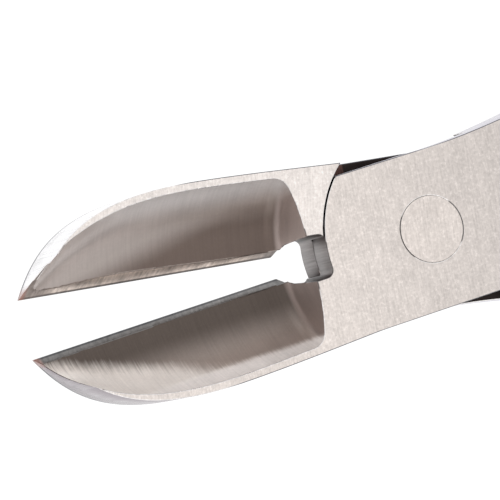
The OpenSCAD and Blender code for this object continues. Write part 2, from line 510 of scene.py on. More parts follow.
@dataclass(frozen=True)
class GroundSteel:
    """Steel ground or brushed in fine lines.

    The lines run across the mapping's X, and the mapping is turned with the half that they are on.
    """

    name: str
    colour: Colour
    turn: float = 0.0
    roughness: float = 0.3
    anisotropy: float = 0.6
    line: float = 0.11
    line_length: float = 2.2
    fine_axis: int = 0
    depth: float = 0.6
    contrast: float = 0.10
    speckle: float = 0.03
    cloud: float = 0.03
    slant: float = 0.0
    mapped: bool = True
    metallic: float = 1.0
    shades: tuple[Shade, ...] = ()

    def build(self) -> bpy.types.Material:
        """Makes the material.

        Returns:
            The new material.
        """
        desk = Desk(self.name)
        place = desk.add("ShaderNodeTexCoord").outputs["Object"]
        closed = desk.add("ShaderNodeMapping", {
            "Vector": place, "Rotation": (0, 0, math.radians(-self.turn)), "Scale": (1 / MM,) * 3}).outputs[0]
        slanted = desk.add("ShaderNodeMapping", {
            "Vector": closed, "Rotation": (0, 0, math.radians(self.slant))}).outputs[0]
        fine = self._lines(desk, slanted, self.line, self.line_length)
        coarse = self._lines(desk, slanted, self.line * 4, self.line_length * 1.7)
        cloud = desk.noise(closed, 0.4, 3.0)
        grit = desk.noise(closed, 5.0, 2.0)
        lines = desk.math("ADD", desk.math("MULTIPLY", fine, 0.6), desk.math("MULTIPLY", coarse, 0.4))
        teeth = desk.math("ADD", desk.math("MULTIPLY", cloud, 0.45), desk.math("MULTIPLY", fine, 0.55))
        tone, metallic = (*self.colour, 1.0), self.metallic
        for shade in self.shades:
            share = self._share(desk, closed, shade, teeth)
            tone = desk.blend(share, tone, (*shade.colour, 1.0))
            if shade.dull:
                metallic = desk.math("SUBTRACT", metallic, desk.math("MULTIPLY", share, shade.dull))
        mottle = desk.math("ADD", desk.swing(cloud, -self.cloud, self.cloud),
                           desk.math("ADD", desk.swing(grit, -self.speckle, self.speckle),
                                     desk.spread(grit, 0.6, NOISE_HIGH, 0.0, self.speckle)))
        light = desk.math("ADD", desk.swing(lines, 1 - self.contrast, 1 + self.contrast), mottle)
        grey = desk.add("ShaderNodeCombineXYZ", {0: light, 1: light, 2: light}).outputs[0]
        desk.put(desk.shader.inputs["Base Color"], desk.blend(1.0, tone, grey, "MULTIPLY"))
        desk.put(desk.shader.inputs["Metallic"], metallic)
        rough = desk.math("ADD", desk.swing(coarse, self.roughness - 0.05, self.roughness + 0.05),
                          desk.swing(cloud, -0.02, 0.03))
        desk.put(desk.shader.inputs["Roughness"], rough)
        if self.mapped:
            desk.put(desk.shader.inputs["Anisotropic"], self.anisotropy)
            tangent = desk.add("ShaderNodeTangent", direction_type="UV_MAP", uv_map="UVMap")
            desk.put(desk.shader.inputs["Tangent"], tangent.outputs[0])
        bump = desk.add("ShaderNodeBump", {"Height": lines, "Strength": 0.35,
                                           "Distance": self.depth * 0.01 * MM})
        desk.put(desk.shader.inputs["Normal"], bump.outputs[0])
        return desk.material

    @staticmethod
    def _share(desk: Desk, place: Socket, shade: Shade, cloud: Socket) -> Socket:
        """How much of a shade shows at each place.

        Args:
            desk: the material's desk.
            place: the coordinates, in millimetres of the closed half.
            shade: the shade.
            cloud: noise that makes its edge ragged.

        Returns:
            The share, from 0 to its strength.
        """
        share: Socket | None = None
        for ramp in shade.ramps:
            dot = desk.add("ShaderNodeVectorMath", {0: place, 1: ramp.along},
                           operation="DOT_PRODUCT").outputs["Value"]
            if shade.ragged:
                dot = desk.math("ADD", dot, desk.swing(cloud, -shade.ragged, shade.ragged))
            ends = {"Value": dot, "From Min": ramp.start, "From Max": ramp.end}
            step = desk.add("ShaderNodeMapRange", ends,
                            interpolation_type="SMOOTHSTEP").outputs["Result"]
            share = step if share is None else desk.math("MULTIPLY", share, step)
        return desk.math("MULTIPLY", share, shade.strength)

    def _lines(self, desk: Desk, vector: Socket, width: float, length: float) -> Socket:
        """Noise drawn out into lines.

        Args:
            desk: the material's desk.
            vector: the coordinates, in millimetres.
            width: a line's width, in millimetres.
            length: a line's length, in millimetres.

        Returns:
            The noise.
        """
        scale = [1 / length] * 3
        scale[self.fine_axis] = 1 / width
        stretched = desk.add("ShaderNodeMapping", {"Vector": vector, "Scale": scale}).outputs[0]
        return desk.noise(stretched, 1.0, 3.0)


def coat(obj: bpy.types.Object, *finishes: GroundSteel) -> None:
    """Gives an object one material for each finish, in their order."""
    for finish in finishes:
        obj.data.materials.append(finish.build())


def srgb(red: int, green: int, blue: int) -> Colour:
    """A colour given as it looks on a screen, made linear."""
    return tuple(((c / 255 + 0.055) / 1.055) ** 2.4 for c in (red, green, blue))


# Near-black, for the faces between the two halves and the lap walls that run in between them.
NEAR_BLACK = srgb(48, 42, 40)
RUST = srgb(96, 72, 66)
TINT = srgb(165, 122, 112)
# How the flat faces and the rivet flush with them are ground.
PLATE_GRIND = {"roughness": 0.36, "contrast": 0.15, "speckle": 0.1, "line_length": 1.4, "slant": 6,
               "cloud": 0.05}


@dataclass(frozen=True)
class HalfFinishAndPaintedLight:
    """The finishes of one half, one for each kind of surface, with painted light and shade laid over several.
    """

    prefix: str
    turn: float
    lower_jaw: bool

    def hollow(self) -> GroundSteel:
        """The hollow's finish, with its tones painted as reflections: dark near the edge,
        and painted highlights towards the tip and the rim.

        Returns:
            The finish.
        """
        slope = 0.34
        common = {"turn": self.turn, "roughness": 0.42, "line": 0.14, "line_length": 4.0,
                  "metallic": 0.75}
        # Past the base, each shade here is painted light: a lighter band up to the rim, a lighter end wall,
        # and painted highlights towards the tip and along the rim, made less metallic so they stay light.
        if self.lower_jaw:
            return GroundSteel(
                f"{self.prefix}_hollow", srgb(94, 84, 78), **common, shades=(
                    Shade(srgb(200, 186, 178), (Ramp((0, -1, 0), 1.6, 5.4),)),
                    Shade(srgb(184, 168, 162), (Ramp((1, 0, 0), -11.15, -10.75),), 0.9),
                    Shade(srgb(244, 236, 230), (Ramp((-slope, -1, 0), 10.6, 11.9),), ragged=0.3, dull=0.45),
                    Shade(srgb(240, 232, 228), (Ramp((0, -1, 0), 4.75, 5.2),), ragged=0.1, dull=0.6)))
        return GroundSteel(
            f"{self.prefix}_hollow", srgb(112, 98, 91), contrast=0.08, speckle=0.02, **common, shades=(
                Shade(srgb(205, 192, 184), (Ramp((0, 1, 0), 2.6, 5.4),)),
                Shade(srgb(222, 206, 200), (Ramp((1, 0, 0), -11.15, -10.75),), 0.85),
                Shade(srgb(178, 168, 163), (Ramp((-slope, 1, 0), 8.0, 10.6),)),
                Shade(srgb(216, 207, 203), (Ramp((-slope, 1, 0), 10.4, 12.2),)),
                Shade(srgb(208, 202, 200), (Ramp((0, 1, 0), 3.7, 5.5),), dull=0.55)))

    def finishes(self) -> list[GroundSteel]:
        """The half's finishes, in the order of Region.

        Returns:
            The finishes.
        """
        common = {"turn": self.turn}
        sign = -1 if self.lower_jaw else 1
        out, back_in = (0, sign, 0), (0, -sign, 0)
        left, right, down, up = (-1, 0, 0), (1, 0, 0), (0, 0, -1), (0, 0, 1)
        # Painted light on the jaws' sides: the lower jaw's grey-lilac side is painted shade, and the upper
        # jaw's white, less metallic side is a painted reflection of the white floor.
        side = srgb(154, 146, 151) if self.lower_jaw else srgb(250, 249, 251)
        # Painted reflection: a lilac tone on the handles' sides near the joint.
        handle_side_reflection = Shade(srgb(196, 193, 203), (Ramp(right, -7, -5), Ramp(left, -36, -24)))
        # Painted shade: a grey line along the jaw's outer edge, the handle's edge and the jaw's back edge
        # towards the tip.
        line = srgb(104, 104, 110)
        tip = Shade(TINT, (Ramp(left, 30.7, 31.1),), 0.7)
        # Painted shade: the broken edges in the throat are greyed, as the throat lies in shade.
        throat_edge_shade = Shade(srgb(120, 117, 116), (Ramp(right, -10.6, -10.3), Ramp(out, -1.7, -1.5),
                                                Ramp(back_in, -1.7, -1.5)))
        outer_line = Shade(line, (Ramp(right, -20, -18), Ramp(out, 5.84, 5.9)))
        handle_line = Shade(line, (Ramp(back_in, 5.84, 5.88), Ramp(up, 5.2, 5.3)))
        back_line = Shade(line, (Ramp(down, -0.15, -0.1), Ramp(left, 17, 19)))
        # Painted shade: a dark line on the broken cutting edge.
        cutting_edge_shade_line = Shade(srgb(70, 66, 66), (Ramp(back_in, -0.2, -0.12), Ramp(left, 11.0, 11.2)))
        # The lower jaw's bevel is painted darker than the upper jaw's, as shade.
        bevel = srgb(126, 124, 123) if self.lower_jaw else srgb(146, 135, 129)
        bevel_line = Shade(bevel, (Ramp(back_in, -1.3, -1.2), Ramp(left, 9.8, 10.0)))
        breaks = [outer_line, handle_line, back_line, throat_edge_shade, bevel_line, cutting_edge_shade_line, tip]
        # Painted light on the flat face: darker towards the handle, and lighter on the upper half's neck.
        face_shades = [Shade(srgb(214, 206, 201), (Ramp(right, -14, 10),))]
        if self.lower_jaw:
            # Painted shade: a dark brown line along the lower jaw's rim at the tip.
            breaks.append(Shade(srgb(62, 50, 48), (Ramp(left, 28.9, 29.4), Ramp(up, 0.5, 0.6),
                                                   Ramp(out, 0.6, 0.8))))
        else:
            face_shades.append(Shade(srgb(242, 234, 229), (Ramp(left, 6.0, 7.5),)))
        # Painted shade: a dark line on the bevel along the cutting edge, darker on the lower jaw.
        edge_shade_tone = srgb(80, 80, 82) if self.lower_jaw else srgb(104, 96, 92)
        edge = Shade(edge_shade_tone, (Ramp(back_in, -0.19, -0.13),))
        # Painted highlight: the upper jaw's bevel is lighter where it swells, short of the tip.
        painted_bevel_highlight = Shade(srgb(214, 200, 190), (Ramp(left, 11.5, 14), Ramp(right, -30, -28)))
        swell = () if self.lower_jaw else (painted_bevel_highlight,)
        # Painted shade: a dark line low on the jaw's side, towards the tip.
        side_outline_shade = Shade(srgb(88, 88, 96), (Ramp(down, -0.42, -0.3), Ramp(left, 19, 23)))
        side_dull = 0.0 if self.lower_jaw else 0.9
        by_region = {
            Region.FACE: GroundSteel(
                f"{self.prefix}_face", srgb(232, 223, 217), **PLATE_GRIND, **common,
                shades=tuple(face_shades)),
            Region.SIDE: GroundSteel(
                f"{self.prefix}_side", srgb(217, 211, 209), roughness=0.28, line_length=12.0, anisotropy=0.3,
                **common, shades=(Shade(side, (Ramp(left, 14, 20),), dull=side_dull),
                                  handle_side_reflection, side_outline_shade, tip)),
            Region.HOLLOW: self.hollow(),
            Region.BEVEL: GroundSteel(
                f"{self.prefix}_bevel", bevel, roughness=0.4, line=0.2, line_length=1.2, contrast=0.4,
                slant=30, **common, shades=(*swell, edge, tip)),
            Region.MATING: GroundSteel(
                f"{self.prefix}_mating", NEAR_BLACK, roughness=0.5, anisotropy=0.2, cloud=0.3, **common,
                shades=(Shade(RUST, (Ramp(out, 5.1, 5.3), Ramp(left, 5.0, 5.4)), ragged=0.4),)),
            Region.THROAT: GroundSteel(
                f"{self.prefix}_throat", srgb(150, 145, 144), roughness=0.45, anisotropy=0.3, metallic=0.6,
                line=0.16, line_length=5.0, fine_axis=1, contrast=0.4, **common, shades=(
                    # Painted shadow: dark brown, made less metallic, in the corner under the neck; and
                    # painted shade darkening the lap wall as it runs in between the halves.
                    Shade(srgb(46, 34, 32), (Ramp(out, 0.6, 0.85), Ramp(left, 8.6, 8.8)), dull=0.9),
                    Shade(srgb(84, 76, 74), (Ramp(back_in, 1.1, 2.0),)))),
            Region.BREAK: GroundSteel(
                f"{self.prefix}_edge", srgb(236, 232, 230), roughness=0.3, anisotropy=0.0, line=0.3,
                contrast=0.2, speckle=0.12, **common, shades=tuple(breaks)),
        }
        return [by_region[region] for region in Region]


# ---------------------------------------------------------------- halves


@dataclass(frozen=True)
class SpringSeat:
    """The flat on a handle's inner edge that a leaf spring is screwed to."""

    along: float = 0.69565
    length: float = 9.0
    depth: float = 0.35
    run: float = 6.0
    screw_r: float = 1.0
    screw_depth: float = 4.0

    @property
    def place(self) -> Vector:
        """The middle of the seat on the handle's inner edge."""
        return bez(INNER_EDGE, self.along)

    @property
    def way(self) -> Vector:
        """The direction along the seat, away from the pivot."""
        return heading(INNER_EDGE, self.along)

    def matrix(self, height: float) -> Matrix:
        """Moves a shape from the seat's own axes, X along it and Y into the handle, to its place."""
        spin = Matrix.Rotation(math.atan2(self.way.y, self.way.x), 4, "Z")
        return Matrix.Translation(Vector((*self.place, height)) * MM) @ spin


@dataclass
class SidePiece:
    """A piece of one half, drawn in its closed place and then turned open by its angle."""

    name: str
    node: str
    body: Body
    mirrored: bool
    turn: float


@dataclass
class Half(SidePiece):
    """One half of the tool: a jaw, a lap plate and the handle on the other side."""

    thick: float = 5.5
    joint_w: float = 12.0
    lap_r: float = 8.55
    shoulder_r: float = 8.67
    lap_gap: float = 0.04
    jaw_l: float = 31.3
    jaw_w: float = 6.38
    jaw_belly: float = 18.0
    tip_rise: float = 62.0
    tip_pull: float = 4.2
    belly_pull: float = 8.6
    hollow_end: float = 9.9
    heel_x: float = 11.1
    throat: float = 1.0
    throat_r: float = 0.6
    edge_gap: float = 0.03
    rim_w: float = 0.6
    hollow_floor: float = 1.05
    hollow_fillet: float = 1.2
    dome_r: float = 17.0
    bevel_w: float = 0.45
    bevel_growth: float = 0.0
    swell_x: tuple[float, float] = (13.0, 24.0)
    swell_run: tuple[float, float] = (11.0, 6.0)
    edge_z: float = 0.35
    handle_l: float = 105.0
    end_y: float = 6.0
    end_r: float = 3.1
    end_z: float = 1.12
    thin_l: float = 17.08
    butt_x: float = 10.5
    slope_l: float = 8.0
    outer_round: float = 2.2
    inner_round: float = 0.9
    rivet_head_r: float = 2.5
    rivet_shank_r: float = 1.9
    sink_depth: float = 0.9
    rivet_fit: float = 0.01
    rivet_run: float = 0.03
    catch_hole_r: float = 0.56
    notch_at: Point = (103.32, 9.99)
    notch_r: float = 0.74
    broken_edge: float = 0.06
    rim_line: Outline = field(default_factory=lambda: [
        (-31.3, -0.4), (-29.5, 0.0), (-27.3, 0.41), (-25.5, 0.54), (-10, 0.6)])

    @property
    def half_w(self) -> float:
        """Half of the joint's width."""
        return self.joint_w / 2

    @property
    def hollow_r(self) -> float:
        """Radius of the wheel that leaves the hollow."""
        depth = self.thick - self.hollow_floor
        return ((self.jaw_w - self.rim_w) ** 2 + depth**2) / (2 * depth)

    @property
    def hollow_z(self) -> float:
        """Height of the wheel's axis."""
        return self.hollow_floor + self.hollow_r

    @cached_property
    def outer_line(self) -> Outline:
        """The handle's outer edge."""
        return curve(OUTER_EDGE, EDGE_STEPS)

    @cached_property
    def inner_line(self) -> Outline:
        """The handle's inner edge."""
        return curve(INNER_EDGE, EDGE_STEPS)

    @cached_property
    def back_line(self) -> Outline:
        """The jaw's outer edge, from the tip to the lap plate.

        Returns:
            Its points.
        """
        rise, pull = math.radians(self.tip_rise), self.tip_pull
        jaw = curve([(-self.jaw_l, self.edge_gap),
                     (-self.jaw_l + pull * math.cos(rise), self.edge_gap + pull * math.sin(rise)),
                     (-self.jaw_belly - self.belly_pull, self.jaw_w), (-self.jaw_belly, self.jaw_w)], 40)
        neck = curve([(-self.jaw_belly, self.jaw_w), (-self.jaw_belly + 4, self.jaw_w),
                      (-8.5, 6.08), (-6.156, self.half_w)], 16)[1:]
        return jaw + neck

    def hollow_share(self, x: float) -> float:
        """Width of the hollow at x, as a share of its width beside the joint."""
        width = height_at(self.back_line, max(x, -self.jaw_l)) - height_at(self.rim_line, x)
        return max(0.06, width / (self.jaw_w - self.rim_w))

    def head_outline(self) -> Outline:
        """Outline of the jaw and the lap plate, jaw below.

        Returns:
            Its points.
        """
        lower = [(x, -y) for x, y in self.back_line]
        flat_a = math.degrees(math.asin(self.half_w / self.lap_r))
        inner_a = math.degrees(math.asin(self.throat / self.lap_r))
        inner = [(x, height_at(self.inner_line, x)) for x in (9.0, 9.5, 10.0, self.butt_x)]
        outer = [(x, height_at(self.outer_line, x)) for x in (self.butt_x, *range(10, -1, -1))]
        fillet_y = -self.throat + self.throat_r
        fillet_x = -math.sqrt((self.lap_r + self.throat_r) ** 2 - fillet_y**2)
        meet_a = math.degrees(math.asin(-fillet_y / (self.lap_r + self.throat_r)))
        fillet = arc((fillet_x, fillet_y), self.throat_r, meet_a, -90, 8)
        right = arc((0, 0), self.lap_r, -flat_a, inner_a, 40)
        left = arc((0, 0), self.lap_r, 180 - flat_a, 180 + meet_a, 34)
        return (lower + right + inner + outer + left + fillet[1:]
                + [(-self.hollow_end, -self.throat), (-self.heel_x + 0.5, -self.throat * 0.7),
                   (-self.heel_x, -self.edge_gap)])

    def wheel(self) -> bpy.types.Object:
        """The grinding wheel that leaves the hollow, with a domed end and a rounded corner.

        Returns:
            The cutter.
        """
        r, f = self.hollow_r, self.hollow_fillet
        fx = r - f
        fy = self.dome_r - math.sqrt((self.dome_r - f) ** 2 - fx * fx)
        meet = math.degrees(math.asin(fx / (self.dome_r - f)))
        dome = arc((0, self.dome_r), self.dome_r, -90, -90 + meet, 14)
        corner = arc((fx, fy), f, -90 + meet, 0, 12)[1:]
        first, last, steps = 5.0, self.jaw_l - self.hollow_end + 0.4, 64
        rest = [(r, first + (last - first) * i / steps) for i in range(steps + 1)]
        profile = dome + corner + rest + [(0, last)]
        places = [Vector((-self.hollow_end - along, out, self.hollow_z)) for out, along in profile]
        obj = Bench.spun("wheel", places, (1, 0, 0), (0, 0, self.hollow_z), 160)
        for vert in obj.data.vertices:
            vert.co.y *= self.hollow_share(vert.co.x / MM)
        return obj

    def bevel_width(self, x: float) -> float:
        """Width of the sharpening bevel at x, which may swell before the tip."""
        grow, fade = (smooth((-x - at) / run) for at, run in zip(self.swell_x, self.swell_run))
        swell = grow * (1 - fade)
        return self.bevel_w * (1 + self.bevel_growth * swell)

    def bevel_at(self, out: float, x: float) -> float:
        """Height of the sharpening bevel's plane.

        Args:
            out: distance from the middle line.
            x: place along the tool.

        Returns:
            The height.
        """
        inner_z = self.hollow_z - math.sqrt(self.hollow_r**2 - self.bevel_w**2)
        slope = (inner_z - self.edge_z) / (self.bevel_width(x) - self.edge_gap)
        return self.edge_z + slope * (out - self.edge_gap)

    def stone(self) -> bpy.types.Object:
        """The stone that grinds the bevel along the cutting edge, from the heel past the tip.

        Returns:
            The cutter, which reaches further from the middle line where the hollow narrows.
        """
        rings = []
        for x in [-self.hollow_end, *range(-12, -34, -1), -2 * self.jaw_l]:
            reach = 1 + 0.8 * smooth((-x - 13) / 3) + 3.2 * smooth((-x - self.jaw_l + 3.2) / 1.5)
            far = reach * self.bevel_width(x)
            section = [(1, self.edge_z), (-self.edge_gap, self.edge_z), (-far, self.bevel_at(far, x)),
                       (-far, self.hollow_z), (1, self.hollow_z)]
            rings.append([Vector((x, y, z)) for y, z in section])
        return Bench.loft("stone", rings)

    def handle(self) -> bpy.types.Object:
        """The bowed handle, with edges that grow rounder away from the joint.

        Returns:
            The handle.
        """
        top, low = self.outer_line, self.inner_line
        stations = [self.butt_x] + [self.butt_x + 3 + i * 1.5 for i in range(54)]
        stations += [94.0 + i for i in range(1, 9)]
        stations += [102.0 + (self.end_r + 3) * math.sin(math.radians(i * 9)) for i in range(1, 10)]
        tip = self.handle_l + self.end_r
        stations = sorted(x for x in stations if x < tip - 0.01) + [tip - 0.004]
        rings = []
        for x in stations:
            up, down = height_at(top, x), height_at(low, x)
            if x > self.handle_l - self.end_r:
                half = math.sqrt(max(0.0, self.end_r**2 - (x - self.handle_l) ** 2))
                up = max(up, self.end_y + half) if x < self.handle_l else self.end_y + half
                down = min(down, self.end_y - half) if x < self.handle_l else self.end_y - half
            start = self.handle_l - self.thin_l
            lift = self.end_z * smooth((x - start + self.slope_l) / self.slope_l)
            rings.append(self.section(x, down, up, lift, self.thick - lift))
        root, inset = self.butt_x - 0.8, 0.06
        buried = self.section(root, height_at(low, root) + inset, height_at(top, root) - inset,
                              inset, self.thick - inset)
        return Bench.loft("handle", [buried] + rings)

    def section(self, x: float, down: float, up: float, low: float, high: float) -> list[Vector]:
        """A rounded rectangle across the handle.

        Args:
            x: its place along the tool.
            down: its inner side.
            up: its outer side.
            low: its back.
            high: its front.

        Returns:
            The corners, with six along each rounded corner.
        """
        grow = 0.0001 + smooth((x - self.butt_x) / 20.0)
        least = min(up - down, high - low) / 2 - 0.001
        outer = min(least, self.outer_round * grow)
        inner = min(least, self.inner_round * grow)
        corners = [(down, low, inner, 180), (up, low, outer, 270),
                   (up, high, outer, 0), (down, high, inner, 90)]
        ring = []
        for y, z, r, start in corners:
            cy = y + r if y == down else y - r
            cz = z + r if z == low else z - r
            ring += [Vector((x, a, b)) for a, b in arc((cy, cz), r, start, start + 90, 5)]
        return ring

    def build(self) -> bpy.types.Object:
        """Models the half and turns it to its place at rest.

        Returns:
            The piece.
        """
        obj = Bench.plate(self.name, self.head_outline(), 0, self.thick)
        Bench.merge(obj, self.handle(), "UNION")
        Bench.cut(obj, self.wheel())
        Bench.cut(obj, self.stone())
        mid = self.thick / 2
        if self.mirrored:
            shoulder = (mid - self.lap_gap / 2, self.thick + 1)
        else:
            shoulder = (-1, mid + self.lap_gap / 2)
        Bench.cut(obj, Bench.cylinder(self.shoulder_r, (0, 0, shoulder[0]), (0, 0, shoulder[1]), 256))
        self.rivet_hole(obj)
        self.fittings(obj)
        Bench.tidy(obj)
        self.dress(obj)
        Bench.soften(obj, self.broken_edge, Region.BREAK.value)
        Bench.level(obj, 0, self.thick)
        Bench.finish(obj, self.turn, self.mirrored)
        Bench.grain(obj)
        Bench.shade(obj)
        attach(obj, self.body.value)
        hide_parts(self.node)
        return obj

    def rivet_hole(self, obj: bpy.types.Object) -> None:
        """Cuts the countersunk hole for the pivot rivet."""
        gap = self.rivet_fit if self.mirrored else self.rivet_run
        head, shank, depth = self.rivet_head_r + gap, self.rivet_shank_r + gap, self.sink_depth
        past = 1
        wide = head + past * (head - shank) / depth
        profile = [(0, -past), (wide, -past), (shank, depth), (shank, self.thick - depth),
                   (wide, self.thick + past), (0, self.thick + past)]
        places = [Vector((r, 0, z)) for r, z in profile]
        Bench.cut(obj, Bench.spun("hole", places, (0, 0, 1), (0, 0, 0), 128))

    def fittings(self, obj: bpy.types.Object) -> None:
        """Cuts the spring's seat, its screw's hole and the catch's hole or notch."""
        seat = SpringSeat()
        block = Bench.box((-seat.length / 2 - seat.run, seat.depth - 6, -1),
                          (seat.length / 2, seat.depth, self.thick + 1))
        block.data.transform(seat.matrix(0))
        Bench.cut(obj, block)
        hole = Bench.cylinder(seat.screw_r, (0, -1, 0), (0, seat.depth + seat.screw_depth, 0), 48)
        hole.data.transform(seat.matrix(self.thick / 2))
        Bench.cut(obj, hole)
        catch_hole = (self.handle_l, self.end_y, self.catch_hole_r)
        x, y, r = catch_hole if self.mirrored else (*self.notch_at, self.notch_r)
        Bench.cut(obj, Bench.cylinder(r, (x, y, -1), (x, y, self.thick + 1), 48))

    def dress(self, obj: bpy.types.Object) -> None:
        """Gives each face the finish of its region, by its place in the closed half."""
        coat(obj, *HalfFinishAndPaintedLight(self.name, self.turn, not self.mirrored).finishes())
        for face in obj.data.polygons:
            face.material_index = self.region(face.center / MM, face.normal).value

    def region(self, at: Vector, normal: Vector) -> Region:
        """Tells which kind of surface a face belongs to.

        Args:
            at: the face's centre, in millimetres.
            normal: its direction.

        Returns:
            The region.
        """
        out = math.hypot(at.y / self.hollow_share(at.x), at.z - self.hollow_z)
        from_pivot = Vector((at.x, at.y, 0))
        facing = abs(normal.dot(from_pivot.normalized()))
        if abs(normal.z) > 0.99 and abs(at.z - self.thick / 2) < 0.1:
            return Region.MATING
        if facing > 0.96 and abs(at.y) > 2.1 and abs(from_pivot.length - self.lap_r) < 0.2:
            return Region.MATING
        if at.x < -self.hollow_end + 0.1 and normal.y > 0.5 and abs(at.z - self.bevel_at(-at.y, at.x)) < 0.03:
            return Region.BEVEL
        if at.x < -self.hollow_end + 0.05 and out < self.hollow_r + 0.04 and at.z < self.thick - 0.001:
            return Region.HOLLOW
        if abs(normal.z) > (0.85 if at.x > self.butt_x else 0.99):
            return Region.FACE
        if -self.heel_x - 0.01 < at.x < -self.lap_r + 1.2 and abs(at.y) < 2.1:
            return Region.THROAT
        return Region.SIDE


# ---------------------------------------------------------------- springs, screws, catch and rivet


@dataclass
class LeafSpring(SidePiece):
    """A leaf spring: a flat strip, screwed to a handle and curved in to meet the other one."""

    other: Body
    seat: SpringSeat = field(default_factory=SpringSeat)
    mid_z: float = 2.75
    thick: float = 0.8
    width: float = 3.6
    tongue_w: float = 1.5
    slot_w: float = 2.1
    hook_y: float = 1.7
    tip: Point = (26.866, -2.8187)
    seat_pull: Point = (10.0, 2.6)
    tip_pull: Point = (13.0, 4.0)
    edge_r: float = 0.16
    heel_steps: int = 9
    bow_steps: int = 44

    def line(self) -> list[tuple[Vector, Vector]]:
        """Points and directions along the strip's middle line, from its heel to its tip.

        Returns:
            Pairs of a point and a direction.
        """
        way = self.seat.way
        middle = self.seat.place + left(way) * (self.seat.depth - self.thick / 2)
        base = middle - way * self.seat.length / 2
        tip = Vector(self.tip)
        bow = [base, base - way * self.seat_pull[0] - left(way) * self.seat_pull[1],
               tip + Vector(self.tip_pull), tip]
        heel = self.seat.length / 2
        reach = self.width / 2
        out = [heel - reach * (1 - math.cos(math.radians(a))) for a in range(4, 90, 12)]
        flat = [heel - reach - i * (self.seat.length - reach) / 6 for i in range(7)]
        places = [(middle + way * d, -way) for d in out + flat[:-1]]
        shares = [i / self.bow_steps for i in range(self.bow_steps + 1)]
        return places + [(bez(bow, t), heading(bow, min(0.999, max(0.001, t)))) for t in shares]

    def half_width(self, step: int, place: Vector) -> float:
        """Half of the strip's width: round at the heel, and a tongue at the front one's tip.

        Args:
            step: number of the place, counted from the heel.
            place: the place.

        Returns:
            The half width.
        """
        heel = self.seat.place + self.seat.way * self.seat.length / 2
        reach = self.width / 2
        gone = min(reach, (place - heel).length)
        rounded = math.sqrt(max(0.03, reach**2 - (reach - gone) ** 2))
        half = rounded if step < self.heel_steps else reach
        if not self.mirrored:
            turn = math.radians(self.turn)
            height = place.x * math.sin(turn) + place.y * math.cos(turn)
            share = smooth((height - self.hook_y) / 0.5)
            half = min(half, self.tongue_w / 2 + (reach - self.tongue_w / 2) * share)
        return half

    def build(self) -> bpy.types.Object:
        """Models the spring and puts it between the two handles.

        Returns:
            The piece.
        """
        rings = []
        for step, (place, way) in enumerate(self.line()):
            half, side = self.half_width(step, place), left(way)
            corners = []
            for sign_t, sign_w, start in ((1, 1, 0), (-1, 1, 90), (-1, -1, 180), (1, -1, 270)):
                centre = (sign_t * (self.thick / 2 - self.edge_r), sign_w * (half - self.edge_r))
                corners += arc(centre, self.edge_r, start, start + 90, 3)
            rings.append([Vector((*(place + side * t), self.mid_z + w)) for t, w in corners])
        obj = Bench.loft(self.name, rings)
        hole = Bench.cylinder(self.seat.screw_r + 0.1, (0, -3, 0), (0, 3, 0), 40)
        hole.data.transform(self.seat.matrix(self.mid_z))
        Bench.cut(obj, hole)
        coat(obj, GroundSteel(f"{self.name}_strip", srgb(206, 206, 210), turn=self.turn, roughness=0.26,
                              line=0.06, line_length=7.0, fine_axis=2, contrast=0.09, cloud=0.06),
             GroundSteel(f"{self.name}_edge", srgb(150, 148, 150), turn=self.turn, roughness=0.4,
                         line=0.1, contrast=0.2))
        for face in obj.data.polygons:
            face.material_index = 1 if abs(face.normal.z) > 0.5 else 0
        Bench.finish(obj, self.turn, self.mirrored)
        if self.mirrored:
            half = self.slot_w / 2
            low, high = Vector((20, -self.hook_y, self.mid_z - half)), Vector((45, 6, self.mid_z + half))
            Bench.cut(obj, Bench.box(low, high))
        Bench.soften(obj, 0.05, 1, 50)
        Bench.grain(obj)
        Bench.shade(obj, 30)
        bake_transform(obj)
        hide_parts(self.node)
        return obj

    def rest_place(self, point: Vector) -> Vector:
        """A point of the closed half, in metres, as the tool lies at rest."""
        flipped = Vector((point.x, -point.y if self.mirrored else point.y, self.mid_z)) * MM
        return Matrix.Rotation(math.radians(self.turn), 3, "Z") @ flipped


